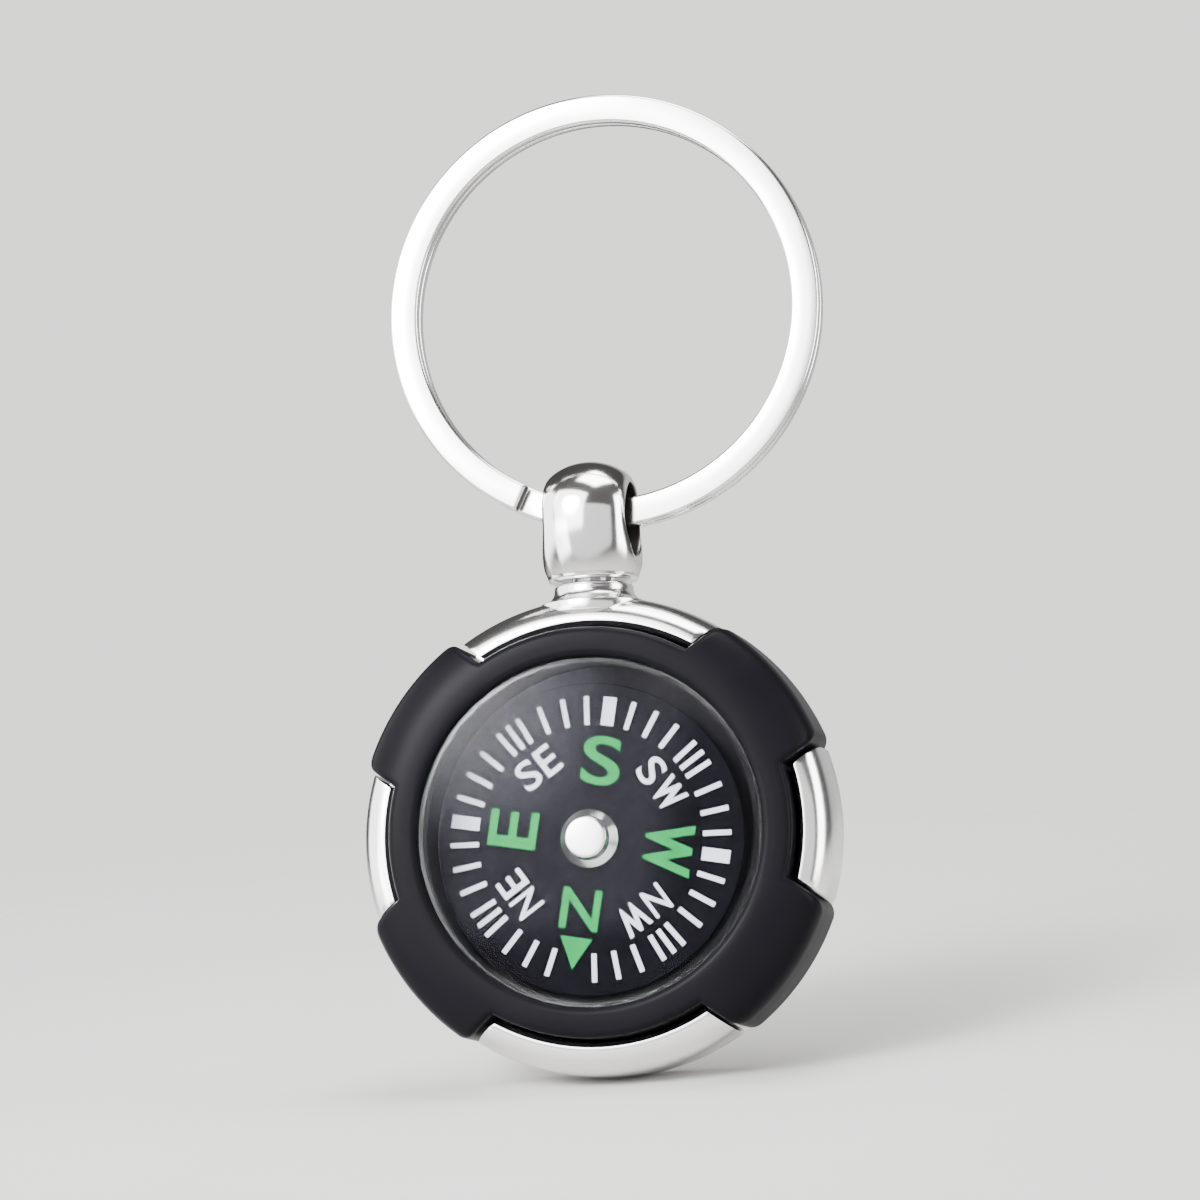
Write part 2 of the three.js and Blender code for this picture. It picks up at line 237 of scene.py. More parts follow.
def scratchGroup(sizes):
    # hairline marks: thin dark cracks of a bent cell pattern, in patches
    group, given, put = newGroup("hairScratches", {"Scale": 900.0, "Width": 0.03}, ["Mask"])
    spot = addNode(group, "ShaderNodeTexCoord")
    bend = addNode(group, "ShaderNodeTexNoise")
    bend.inputs["Scale"].default_value = sizes["bendScale"]
    mixed = addNode(group, "ShaderNodeMix", data_type="VECTOR")
    mixed.inputs["Factor"].default_value = sizes["bend"]
    cells = addNode(group, "ShaderNodeTexVoronoi", feature="DISTANCE_TO_EDGE")
    edge = addNode(group, "ShaderNodeMath", operation="LESS_THAN")
    patch = addNode(group, "ShaderNodeTexNoise")
    patch.inputs["Scale"].default_value = sizes["patchScale"]
    most = addNode(group, "ShaderNodeMath", operation="GREATER_THAN")
    most.inputs[1].default_value = sizes["patchFrom"]
    both = addNode(group, "ShaderNodeMath", operation="MULTIPLY")
    group.links.new(spot.outputs["Object"], bend.inputs["Vector"])
    group.links.new(spot.outputs["Object"], mixed.inputs["A"])
    group.links.new(bend.outputs["Color"], mixed.inputs["B"])
    group.links.new(mixed.outputs["Result"], cells.inputs["Vector"])
    group.links.new(given.outputs["Scale"], cells.inputs["Scale"])
    group.links.new(cells.outputs["Distance"], edge.inputs[0])
    group.links.new(given.outputs["Width"], edge.inputs[1])
    group.links.new(spot.outputs["Object"], patch.inputs["Vector"])
    group.links.new(patch.outputs["Fac"], most.inputs[0])
    group.links.new(edge.outputs["Value"], both.inputs[0])
    group.links.new(most.outputs["Value"], both.inputs[1])
    group.links.new(both.outputs["Value"], put.inputs["Mask"])
    return group


def mapped(tree, source, low, high, inLow=0.22, inHigh=0.78):
    # most of a noise's values lie in the default range
    node = addNode(tree, "ShaderNodeMapRange")
    node.inputs["From Min"].default_value = inLow
    node.inputs["From Max"].default_value = inHigh
    node.inputs["To Min"].default_value = low
    node.inputs["To Max"].default_value = high
    tree.links.new(source, node.inputs["Value"])
    return node.outputs["Result"]


def blended(tree, mask, first, second):
    node = addNode(tree, "ShaderNodeMix", data_type="RGBA")
    node.inputs["A"].default_value = (*first, 1)
    node.inputs["B"].default_value = (*second, 1)
    tree.links.new(mask, node.inputs["Factor"])
    return node.outputs["Result"]


def distanceFrom(tree, centre, keep=(1, 1, 1)):
    # how far the surface is from a spot, or from a line along the axis that keep leaves out
    spot = addNode(tree, "ShaderNodeTexCoord")
    flat = addNode(tree, "ShaderNodeVectorMath", operation="MULTIPLY")
    flat.inputs[1].default_value = keep
    away = addNode(tree, "ShaderNodeVectorMath", operation="DISTANCE")
    away.inputs[1].default_value = [part * kept for part, kept in zip(centre, keep)]
    tree.links.new(spot.outputs["Object"], flat.inputs[0])
    tree.links.new(flat.outputs["Vector"], away.inputs[0])
    return away.outputs["Value"]


def paintShade(material, mask, shadeLook):
    # paints shade over the plating where the mask is 1: a near-black, rough metal stands in for shadow
    tree = material.node_tree
    shader = tree.nodes["Principled BSDF"]
    for socket, kind in (("Base Color", "RGBA"), ("Roughness", "FLOAT")):
        plated = shader.inputs[socket].links[0].from_socket
        mixed = addNode(tree, "ShaderNodeMix", data_type=kind)
        mixed.inputs["B"].default_value = shadeLook[socket]
        tree.links.new(mask, mixed.inputs["Factor"])
        tree.links.new(plated, mixed.inputs["A"])
        tree.links.new(mixed.outputs["Result"], shader.inputs[socket])


def bumped(tree, shader, height, distance, strength):
    bump = addNode(tree, "ShaderNodeBump")
    bump.inputs["Distance"].default_value = distance
    bump.inputs["Strength"].default_value = strength
    tree.links.new(height, bump.inputs["Height"])
    tree.links.new(bump.outputs["Normal"], shader.inputs["Normal"])


plainGrain = 0.00002  # depth of the bump in metres
platingGrain = 0.00001
platingMarks = {"cloud": 420.0, "hair": {"Scale": 700.0, "Width": 0.02}, "hairRough": 0.025}
speckle = speckleGroup()
scratches = scratchGroup(hairSizes)


def speckled(name, tones, rough, cloud, fine, bump, values):
    # one colour clouded into a second, roughness that drifts, and a fine bump
    material, tree, shader = newSurface(name, values)
    marks = addGroup(tree, speckle, {"Cloud": cloud, "Fine": fine})
    colour = blended(tree, mapped(tree, marks.outputs["Cloud"], 0, 1), *tones)
    tree.links.new(colour, shader.inputs["Base Color"])
    tree.links.new(mapped(tree, marks.outputs["Cloud"], *rough), shader.inputs["Roughness"])
    bumped(tree, shader, marks.outputs["Fine"], plainGrain, bump)
    return material


def nickel(name, tones, rough, bump, fine):
    # polished plating with a drifting polish, fine grain and a few hairline marks
    material, tree, shader = newSurface(name, {"Metallic": 1.0})
    marks = addGroup(tree, speckle, {"Cloud": platingMarks["cloud"], "Fine": fine})
    hair = addGroup(tree, scratches, platingMarks["hair"])
    colour = blended(tree, mapped(tree, marks.outputs["Cloud"], 0, 1), *tones)
    tree.links.new(colour, shader.inputs["Base Color"])
    drift = mapped(tree, marks.outputs["Cloud"], *rough)
    added = addNode(tree, "ShaderNodeMath", operation="MULTIPLY_ADD")
    added.inputs[1].default_value = platingMarks["hairRough"]
    tree.links.new(hair.outputs["Mask"], added.inputs[0])
    tree.links.new(drift, added.inputs[2])
    tree.links.new(added.outputs["Value"], shader.inputs["Roughness"])
    bumped(tree, shader, marks.outputs["Fine"], platingGrain, bump)
    return material


lensLook = {"cloud": 200.0, "rough": (0.01, 0.035), "rimFrom": 11.3, "rimTo": 11.5, "rimCoat": 0.4}
lensValues = {
    "Transmission Weight": 1.0, "IOR": 1.12, "Base Color": (0.97, 0.98, 0.98, 1),
    "Specular Tint": (0.9, 0.88, 1.0, 1), "Coat IOR": 1.5, "Coat Roughness": 0.08,
}


def lensSurface(centre, look):
    # clear over the dial, with a glossier edge that catches the light
    material, tree, shader = newSurface("lensAcrylic", lensValues)
    marks = addGroup(tree, speckle, {"Cloud": look["cloud"]})
    tree.links.new(mapped(tree, marks.outputs["Cloud"], *look["rough"]), shader.inputs["Roughness"])
    away = distanceFrom(tree, centre, (1, 0, 1))
    edge = mapped(tree, away, 0, look["rimCoat"], look["rimFrom"] * mm, look["rimTo"] * mm)
    tree.links.new(edge, shader.inputs["Coat Weight"])
    through = addNode(tree, "ShaderNodeBsdfTransparent")
    path = addNode(tree, "ShaderNodeLightPath")
    both = addNode(tree, "ShaderNodeMixShader")
    tree.links.new(path.outputs["Is Shadow Ray"], both.inputs["Fac"])
    tree.links.new(shader.outputs["BSDF"], both.inputs[1])
    tree.links.new(through.outputs["BSDF"], both.inputs[2])
    tree.links.new(both.outputs["Shader"], tree.nodes["Material Output"].inputs["Surface"])
    return material


nickelWire = nickel(
    "nickelWire", ((0.87, 0.86, 0.855), (0.84, 0.83, 0.825)), (0.12, 0.17), bump=0.05, fine=5000.0,
)
nickelSatin = nickel(
    "nickelSatin", ((0.83, 0.815, 0.81), (0.79, 0.775, 0.775)), (0.15, 0.2), bump=0.02, fine=7000.0,
)
steelPlain = nickel(
    "steelPlain", ((0.55, 0.55, 0.56), (0.5, 0.5, 0.51)), (0.28, 0.38), bump=0.08, fine=6000.0,
)
nickelHead = nickel(
    "nickelHead", ((0.86, 0.845, 0.84), (0.82, 0.81, 0.805)), (0.1, 0.15), bump=0.04, fine=5000.0,
)
paintedShadeMetal = {"Base Color": (0.035, 0.032, 0.03, 1), "Roughness": 0.5}  # painted shade: near-black, rough metal for places where shade falls
plasticBlack = speckled(
    "plasticBlack", ((0.0041, 0.0039, 0.0052), (0.0049, 0.0047, 0.0062)), (0.28, 0.34),
    cloud=260.0, fine=5200.0, bump=0.12, values={"Specular IOR Level": 0.023},
)
cardBlack = speckled(
    "cardBlack", ((0.0014, 0.0012, 0.0023), (0.002, 0.0018, 0.0031)), (0.45, 0.55),
    cloud=350.0, fine=6000.0, bump=0.1, values={"Specular IOR Level": 0.01},
)
inkWhite = speckled(
    "inkWhite", ((0.43, 0.43, 0.5), (0.39, 0.39, 0.46)), (0.45, 0.55),
    cloud=800.0, fine=8000.0, bump=0.1, values={},
)
inkGreen = speckled(
    "inkGreen", ((0.0006, 0.13, 0.028), (0.0006, 0.145, 0.032)), (0.45, 0.55),
    cloud=800.0, fine=8000.0, bump=0.1, values={"Specular IOR Level": 0.04},
)
rubberBlack = speckled(
    "rubberBlack", ((0.012, 0.012, 0.012), (0.02, 0.02, 0.02)), (0.8, 0.9),
    cloud=500.0, fine=5000.0, bump=0.2, values={},
)
foamGrey = speckled(
    "foamGrey", ((0.3, 0.3, 0.29), (0.36, 0.36, 0.35)), (0.85, 0.95),
    cloud=900.0, fine=4000.0, bump=0.5, values={},
)
magnetGrey = speckled(
    "magnetGrey", ((0.1, 0.1, 0.105), (0.14, 0.14, 0.145)), (0.45, 0.6),
    cloud=600.0, fine=5000.0, bump=0.3, values={"Metallic": 0.6},
)
jewelRed = speckled(
    "jewelRed", ((0.35, 0.03, 0.05), (0.42, 0.04, 0.07)), (0.05, 0.1),
    cloud=600.0, fine=5000.0, bump=0.0, values={"IOR": 1.76},
)
lensClear = lensSurface(caseCentre, lensLook)
print("materials made")


# Split ring: two turns of flat wire, a jog and two cut ends

ringSizes = {
    "width": 1.9, "thickness": 0.94, "gap": 0.08, "corner": 0.2, "endAngle": 205, "jog": 30,
    "setBack": 1.5, "turnSteps": 220, "jogSteps": 24, "endBevel": 0.07, "endSteps": 2,
}


def makeRing(sizes):
    low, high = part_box("split_ring")
    centre = Vector(((low.x + high.x) / 2, 0, (low.z + high.z) / 2))
    middle = (high.x - low.x) / 2 / mm - sizes["width"] / 2
    layer = (sizes["thickness"] + sizes["gap"]) / 2
    halfWidth = sizes["width"] / 2
    halfThick = sizes["thickness"] / 2
    corners = [(-1, -1), (1, -1), (1, 1), (-1, 1)]
    section = [
        (middle + a * halfWidth, b * halfThick - layer, sizes["corner"]) for a, b in corners
    ]
    bm = bmesh.new()
    drawWire(bm, section, lambda out, along: centre + Vector((0, along, out)) * mm, closed=True)
    start = math.radians(sizes["endAngle"] + sizes["setBack"])
    turnIn = Matrix.Rotation(start, 3, alongY)
    bmesh.ops.rotate(bm, verts=bm.verts[:], cent=centre, matrix=turnIn)

    def wind(geom, angle, steps, rise=0.0):
        made = bmesh.ops.spin(
            bm, geom=geom, cent=centre, axis=alongY, dvec=(0, rise * mm, 0),
            angle=math.radians(angle), steps=steps, use_merge=False, use_duplicate=False,
        )
        return made["geom_last"]

    turn = 360 - sizes["jog"] - sizes["setBack"]
    end = wind(bm.verts[:] + bm.edges[:], turn, sizes["turnSteps"])
    count = sizes["jogSteps"]
    eased = [(3 - 2 * i / count) * (i / count) ** 2 for i in range(count + 1)]  # a smooth step from 0 to 1
    for before, after in zip(eased, eased[1:]):
        end = wind(end, sizes["jog"] / count, 1, (after - before) * 2 * layer)
    wind(end, turn, sizes["turnSteps"])
    tidyFaces(bm)
    cut = [edge for edge in bm.edges if edge.is_boundary]
    bmesh.ops.holes_fill(bm, edges=cut, sides=0)
    bmesh.ops.bevel(
        bm, geom=cut, offset=sizes["endBevel"] * mm, affect="EDGES",
        segments=sizes["endSteps"], profile=0.5, material=-1,
    )
    bmesh.ops.recalc_face_normals(bm, faces=bm.faces[:])
    ends = bm.faces.layers.float.new("cutEnd")
    for face in bm.faces:
        # only the two filled ends have more than four corners
        face[ends] = 1.0 if len(face.verts) > 4 else 0.0
    return looseObject("ringWire", bm)


# painted shade on the ring's two cut ends, where the wire's end sits in shadow against the next turn
cutEnds = addNode(nickelWire.node_tree, "ShaderNodeAttribute", attribute_name="cutEnd")
paintShade(nickelWire, cutEnds.outputs["Fac"], paintedShadeMetal)
dress(makeRing(ringSizes), "ring", nickelWire, ["split_ring"])
print("split ring made")


# Swivel head: a domed bullet with a soft flat on each side, lofted upwards and bored for the ring

headSizes = {
    "foot": 3.1, "footEdge": 0.3, "footRings": (0.0, 1.2, 2.4), "flat": 3.1, "noFlat": 1000.0,
    "scoopStart": 0.6, "scoopLip": 0.7, "scoopReach": 2, "squareness": 12, "eye": 2.487, "eyeDrop": 0.45,
    "eyeMouth": 0.38, "mouthTurn": 78, "mouthLean": 12, "mouthReach": 3, "shadeFrom": 0.01, "shadeTo": 0.12,
    "pinHole": 1.35, "pinDepth": 1.15, "pinPast": 1, "round": 144, "edgeSteps": 6, "sideSteps": 32,
    "mouthSteps": 8, "eyeSteps": 96, "pinSteps": 48,
}


def makeHead(sizes):
    low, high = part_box("swivel_head")
    wide = (high.y - low.y) / 2 / mm
    top, foot, level = high.z / mm, low.z / mm, wirePoint.z / mm
    reach = wide + sizes["scoopReach"]
    lip = foot + sizes["scoopLip"]
    start = level - sizes["scoopStart"]
    taperEnd = foot + sizes["footEdge"]

    def flatAt(z):
        if z >= start:
            return sizes["flat"]
        if z <= lip:
            return sizes["noFlat"]
        t = 1 - math.sqrt((z - lip) / (start - lip))
        return sizes["flat"] + (reach - sizes["flat"]) * t * t

    def spots(radius, z):
        found = []
        for i in range(sizes["round"]):
            a = fullTurn * i / sizes["round"]
            flat = flatAt(z) / max(abs(math.cos(a)), 1e-4)  # never divides by 0
            power = sizes["squareness"]
            out = radius * (1 + (radius / flat) ** power) ** (-1 / power)
            found.append(Vector((out * math.cos(a), out * math.sin(a), z)) * mm)
        return found

    rows = [(radius, foot) for radius in sizes["footRings"]]
    edge, steps = sizes["footEdge"], sizes["sideSteps"]
    for i in range(sizes["edgeSteps"] + 1):
        a = fullTurn / 4 * i / sizes["edgeSteps"]
        rows.append((sizes["foot"] - edge * (1 - math.sin(a)), foot + edge * (1 - math.cos(a))))
    for i in range(1, steps + 1):
        z = taperEnd + (level - taperEnd) * i / steps
        share = (level - z) / (level - taperEnd)
        rows.append((wide - (wide - sizes["foot"]) * share ** 2, z))
    for i in range(1, steps + 1):
        a = fullTurn / 4 * i / steps
        rows.append((wide * math.cos(a), level + (top - level) * math.sin(a)))
    bm = bmesh.new()
    loop = [bm.verts.new(spot) for spot in spots(*rows[0])]
    for a, b in zip(loop, loop[1:] + loop[:1]):
        bm.edges.new((a, b))
    for row in rows[1:]:
        loop = nextLoop(bm, loop, spots(*row))
    tidyFaces(bm)
    head = looseObject("headShell", bm)

    soft = sizes["eyeMouth"]
    flare = []
    for i in range(sizes["mouthSteps"] + 1):
        a = math.radians(sizes["mouthTurn"] * i / sizes["mouthSteps"])
        out = sizes["eye"] + soft * (1 - math.cos(a))
        flare.append((out, sizes["flat"] - soft * (1 - math.sin(a)), 0))
    out, along, corner = flare[-1]
    lean, length = math.radians(sizes["mouthLean"]), sizes["mouthReach"]
    far = along + length * math.sin(lean)
    side = flare + [(out + length * math.cos(lean), far, 0), (0, far, 0)]
    profile = [(out, -along, 0) for out, along, corner in reversed(side)] + side
    eye = spunAbout(alongY, Vector((0, 0, 0)), profile, sizes["eyeSteps"])
    stand = Matrix.Rotation(fullTurn / 4, 3, alongZ)
    bmesh.ops.rotate(eye, verts=eye.verts[:], cent=(0, 0, 0), matrix=stand)
    bmesh.ops.translate(eye, verts=eye.verts[:], vec=wirePoint - alongZ * sizes["eyeDrop"] * mm)
    hole = boreProfile(sizes["pinHole"], foot + sizes["pinDepth"], foot - sizes["pinPast"])
    pin = spunAbout(alongZ, wirePoint, hole, sizes["pinSteps"])
    cutters = [looseObject("eyeBore", eye), looseObject("pinBore", pin)]
    for cutter in cutters:
        cutWith(head, cutter, "DIFFERENCE")
    return applied(head, cutters)


def shadeEyeBore(material, sizes):
    # painted shade on the bore's wall, where the hole is in shadow, fading out at its mouth so the plating
    # shows there
    tree = material.node_tree
    away = distanceFrom(tree, wirePoint - alongZ * sizes["eyeDrop"] * mm, (0, 1, 1))
    bore = sizes["eye"] * mm
    mask = mapped(tree, away, 1, 0, bore + sizes["shadeFrom"] * mm, bore + sizes["shadeTo"] * mm)
    paintShade(material, mask, paintedShadeMetal)


shadeEyeBore(nickelHead, headSizes)
dress(makeHead(headSizes), "head", nickelHead, ["swivel_head"], sharp=38)
print("swivel head made")


# Case: a flat-backed cup with four claws and the boss under the head

caseSizes = {
    "wall": 2.2, "back": 1.0, "backRound": 2.0, "innerBevel": 0.35, "boreEdge": 0.08, "floorCorner": 0.3,
    "roundDepth": 2.6, "roundSteps": 12, "notch": 10.8, "notchPast": 2, "notchReach": 1.2,
    "boss": 2.7, "bossEdge": 0.3, "bossFlare": 0.6, "bossHeight": 1.0, "bossSkirt": 0.4, "skirtDrop": 0.35,
    "bossRoot": 1.0, "pinHole": 1.5, "pinPast": 1, "pinReach": 4, "weld": 0.02, "edge": 0.1,
    "edgeAngle": 40, "edgeSteps": 2, "steps": 192, "bossSteps": 64, "pinSteps": 32,
}
lobeAngles = [52.5, 127.5, 232.5, 307.5]  # clockwise from the top


def makeCase(sizes):
    low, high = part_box("case")
    radius = (high.x - low.x) / 2 / mm
    back, front = high.y / mm, low.y / mm
    bore = radius - sizes["wall"]
    floorDepth = back - sizes["back"]
    crest = bore + sizes["innerBevel"]
    rounded = []
    for i in range(sizes["roundSteps"] + 1):
        a = fullTurn / 4 * (1 - i / sizes["roundSteps"])
        out = crest + (radius - crest) * math.sin(a)
        rounded.append((out, front + sizes["roundDepth"] * (1 - math.cos(a)), 0))
    inside = [
        (bore, front + sizes["innerBevel"], sizes["boreEdge"]),
        (bore, floorDepth, sizes["floorCorner"]), (0, floorDepth, 0),
    ]
    cup = [(0, back, 0), (radius, back, sizes["backRound"])] + rounded + inside
    case = looseObject("caseShell", spunAbout(alongY, caseCentre, cup, sizes["steps"]))

    axis = Vector((caseCentre.x, 0, caseCentre.z))
    bars = bmesh.new()
    ahead = sizes["notchPast"]
    spot = Matrix.Translation(Vector((0, (front - ahead + floorDepth) / 2, radius)) * mm)
    tall = radius * mm * sizes["notchReach"]
    size = Matrix.Diagonal((sizes["notch"] * mm, (floorDepth - front + ahead) * mm, tall, 1))
    for angle in lobeAngles:
        turn = Matrix.Rotation(math.radians(angle), 4, alongY)
        bmesh.ops.create_cube(bars, size=1, matrix=Matrix.Translation(axis) @ turn @ spot @ size)

    top = caseCentre.z / mm + radius + sizes["bossHeight"]
    crown = caseCentre.z / mm + radius
    skirt = sizes["boss"] + sizes["bossFlare"] + sizes["bossSkirt"]
    root = crown - sizes["bossRoot"]
    boss = [
        (0, top, 0), (sizes["boss"], top, sizes["bossEdge"]), (sizes["boss"], crown, sizes["bossFlare"]),
        (skirt, crown - sizes["skirtDrop"], 0), (skirt, root, 0), (0, root, 0),
    ]
    hole = boreProfile(sizes["pinHole"], top + sizes["pinPast"], crown - sizes["pinReach"])
    notches = looseObject("notches", bars)
    stem = looseObject("boss", spunAbout(alongZ, axis, boss, sizes["bossSteps"]))
    pin = looseObject("pinBore", spunAbout(alongZ, axis, hole, sizes["pinSteps"]))
    cutWith(case, notches, "DIFFERENCE")
    cutWith(case, stem, "UNION")
    cutWith(case, pin, "DIFFERENCE")
    close = case.modifiers.new("close", "WELD")
    close.merge_threshold = sizes["weld"] * mm
    soft = case.modifiers.new("soft", "BEVEL")
    soft.limit_method = "ANGLE"
    soft.angle_limit = math.radians(sizes["edgeAngle"])
    soft.width = sizes["edge"] * mm
    soft.segments = sizes["edgeSteps"]
    return applied(case, [notches, stem, pin])


dress(makeCase(caseSizes), "case", nickelSatin, ["case"], sharp=35)
print("case made")


# Bezel: a black ring whose lobes fill the notches, lofted loop by loop round its outline

bezelSizes = {
    "skirt": 13.0, "lip": 11.8, "lipDepth": 1.0, "edge": 13.9, "flat": 12.6, "shoulder": 2.4,
    "lobeWidth": 10.2, "lobeCorner": 1.1, "lobePast": 0.2, "rimRound": 0.45, "lipRound": 0.5,
    "footBevel": 0.3, "rimSteps": 6, "faceSteps": 10, "lipSteps": 4, "sideSteps": 7, "cornerSteps": 7,
    "crestSteps": 14, "windowSteps": 26,
}


def bezelOutline(sizes, lobeReach):
    # (x, z) points about the axis, clockwise seen from the front
    half = sizes["lobeWidth"] / 2
    corner = sizes["lobeCorner"]
    start = math.sqrt(sizes["edge"] ** 2 - half ** 2)
    turnAt = math.sqrt((lobeReach - corner) ** 2 - (half - corner) ** 2)
    lean = math.atan2(half - corner, turnAt)
    steps = sizes["sideSteps"]
    side = [(start + (turnAt - start) * i / steps, -half) for i in range(steps)]
    bend = []
    for i in range(sizes["cornerSteps"]):
        a = fullTurn / 4 + (lean - fullTurn / 4) * i / sizes["cornerSteps"]
        bend.append((turnAt + corner * math.cos(a), corner - half - corner * math.sin(a)))
    crest = []
    for i in range(sizes["crestSteps"] + 1):
        a = lean * (2 * i / sizes["crestSteps"] - 1)
        crest.append((lobeReach * math.cos(a), lobeReach * math.sin(a)))
    leading = side + bend
    lobe = leading + crest + [(out, -across) for out, across in reversed(leading)]
    outline = []
    spread = math.degrees(math.asin(half / sizes["edge"]))
    for angle, following in zip(lobeAngles, lobeAngles[1:] + [lobeAngles[0] + 360]):
        a = math.radians(angle)
        for out, across in lobe:
            x = out * math.sin(a) + across * math.cos(a)
            outline.append((x, out * math.cos(a) - across * math.sin(a)))
        first, last = angle + spread, following - spread
        for i in range(1, sizes["windowSteps"]):
            b = math.radians(first + (last - first) * i / sizes["windowSteps"])
            outline.append((sizes["edge"] * math.sin(b), sizes["edge"] * math.cos(b)))
    return [Vector(point) for point in outline]


def makeBezel(sizes):
    low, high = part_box("capsule_bezel")
    face, foot = low.y / mm, high.y / mm
    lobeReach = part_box("case")[1].x / mm + sizes["lobePast"]
    outline = bezelOutline(sizes, lobeReach)
    count = len(outline)
    outward = []
    for i, point in enumerate(outline):
        run = outline[(i + 1) % count] - outline[i - 1]
        outward.append(Vector((-run.y, run.x)).normalized())

    def faceDepth(out):
        share = min(max((out - sizes["flat"]) / (lobeReach - sizes["flat"]), 0), 1)
        return face + sizes["shoulder"] * (1 - math.sqrt(1 - share ** 2))

    def spots(flat, depths):
        return [Vector((p.x, y, caseCentre.z / mm + p.y)) * mm for p, y in zip(flat, depths)]

    def inset(distance):
        return [p - n * distance for p, n in zip(outline, outward)]

    def circle(radius):
        return [p.normalized() * radius for p in outline]

    bm = bmesh.new()
    firstPlaces = spots(inset(sizes["footBevel"]), [foot] * count)
    first = [bm.verts.new(spot) for spot in firstPlaces]
    for a, b in zip(first, first[1:] + first[:1]):
        bm.edges.new((a, b))
    loop = nextLoop(bm, first, spots(outline, [foot - sizes["footBevel"]] * count))
    soft = sizes["rimRound"]
    for i in range(sizes["rimSteps"] + 1):
        a = fullTurn / 4 * i / sizes["rimSteps"]
        flat = inset(soft * (1 - math.cos(a)))
        rise = soft * (1 - math.sin(a))
        loop = nextLoop(bm, loop, spots(flat, [faceDepth(p.length) + rise for p in flat]))
    rim = inset(soft)
    lipEdge = circle(sizes["lip"] + sizes["lipRound"])
    for i in range(1, sizes["faceSteps"] + 1):
        share = i / sizes["faceSteps"]
        flat = [p.lerp(q, share) for p, q in zip(rim, lipEdge)]
        loop = nextLoop(bm, loop, spots(flat, [faceDepth(p.length) for p in flat]))
    for i in range(1, sizes["lipSteps"] + 1):
        a = fullTurn / 4 * i / sizes["lipSteps"]
        flat = circle(sizes["lip"] + sizes["lipRound"] * (1 - math.sin(a)))
        depth = face + sizes["lipRound"] * (1 - math.cos(a))
        loop = nextLoop(bm, loop, spots(flat, [depth] * count))
    under = face + sizes["lipDepth"]
    for radius, depth in ((sizes["lip"], under), (sizes["skirt"], under), (sizes["skirt"], foot)):
        loop = nextLoop(bm, loop, spots(circle(radius), [depth] * count))
    closing = []
    for ring in (loop, first):
        closing += [bm.edges.get(pair) for pair in zip(ring, ring[1:] + ring[:1])]
    bmesh.ops.bridge_loops(bm, edges=closing)
    tidyFaces(bm)
    return looseObject("bezelRing", bm)


dress(makeBezel(bezelSizes), "case", plasticBlack, ["capsule_bezel"], sharp=40)
print("bezel made")


# Lens: a flange under the bezel's lip and a low clear dome

lensSizes = {
    "flange": 12.8, "flangeDepth": 0.9, "window": 11.7, "under": 11.6, "crown": 0.8, "hollow": 0.8,
    "edgeWidth": 0.45, "edgeSlope": 20, "edgeSteps": 8, "domeSteps": 14, "steps": 288,
}


def makeLens(sizes):
    low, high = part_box("lens")
    back = high.y / mm
    brim = low.y / mm + sizes["crown"]
    shares = [1 - i / sizes["domeSteps"] for i in range(1, sizes["domeSteps"] + 1)]
    shoulder = sizes["window"] - sizes["edgeWidth"]
    dome = [(shoulder * s, brim - sizes["crown"] * (1 - s ** 2), 0) for s in [1] + shares]
    deep, under = sizes["hollow"], sizes["under"]
    hollow = [(under * s, back - deep * (1 - s ** 2), 0) for s in reversed(shares)]
    steep = math.radians(sizes["edgeSlope"])
    gentle = math.atan(2 * sizes["crown"] / shoulder)  # slope of the dome where the edge begins
    bend = sizes["edgeWidth"] / (math.sin(steep) - math.sin(gentle))
    roll = []
    for i in range(sizes["edgeSteps"]):
        a = steep + (gentle - steep) * i / sizes["edgeSteps"]
        out = shoulder + bend * (math.sin(a) - math.sin(gentle))
        roll.append((out, brim + bend * (math.cos(gentle) - math.cos(a)), 0))
    flange = back - sizes["flangeDepth"]
    wide = sizes["flange"]
    outside = [(wide, back, 0), (wide, flange, 0), (sizes["window"], flange, 0)]
    profile = outside + roll + dome + hollow + [(under, back, 0)]
    return looseObject("lensDome", spunAbout(alongY, caseCentre, profile, sizes["steps"], closed=True))


dress(makeLens(lensSizes), "case", lensClear, ["lens"], sharp=30)
print("lens made")


# Card: a black disc with printed ticks, letters and a north arrow

cardSizes = {
    "hole": 1.1, "edge": 0.12, "print": 0.02, "steps": 160, "north": 190.6, "tickOut": 9.7,
    "tickIn": 7.75, "tickWide": 0.36, "tickThick": 0.9, "arrowOut": 8.9, "arrowIn": 6.7, "arrowWide": 2.25,
    "whiteMiddle": 6.1, "whiteHeight": 2.05, "whiteSpace": 0.3,
}
greenLetters = [  # angle from north, letter, middle, height and width in mm
    (0, "N", 4.8, 2.8, 2.7), (90, "E", 5.4, 3.35, 2.55),
    (180, "S", 5.35, 3.35, 2.7), (270, "W", 5.4, 3.35, 3.6),
]
whiteWords = [(45, "NE"), (135, "SE"), (225, "SW"), (315, "NW")]
whiteWidths = {"N": 1.45, "E": 1.3, "S": 1.4, "W": 1.95}
letterBold = {"N": 0.015, "E": 0.015, "S": 0.015, "W": 0.045}  # share of the height


def makeCard(sizes):
    low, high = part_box("dial_card")
    radius = (high.x - low.x) / 2 / mm
    profile = [
        (radius, high.y / mm, sizes["edge"]), (radius, low.y / mm, sizes["edge"]),
        (sizes["hole"], low.y / mm, 0), (sizes["hole"], high.y / mm, 0),
    ]
    return looseObject("cardDisc", spunAbout(alongY, cardCentre, profile, sizes["steps"], closed=True))


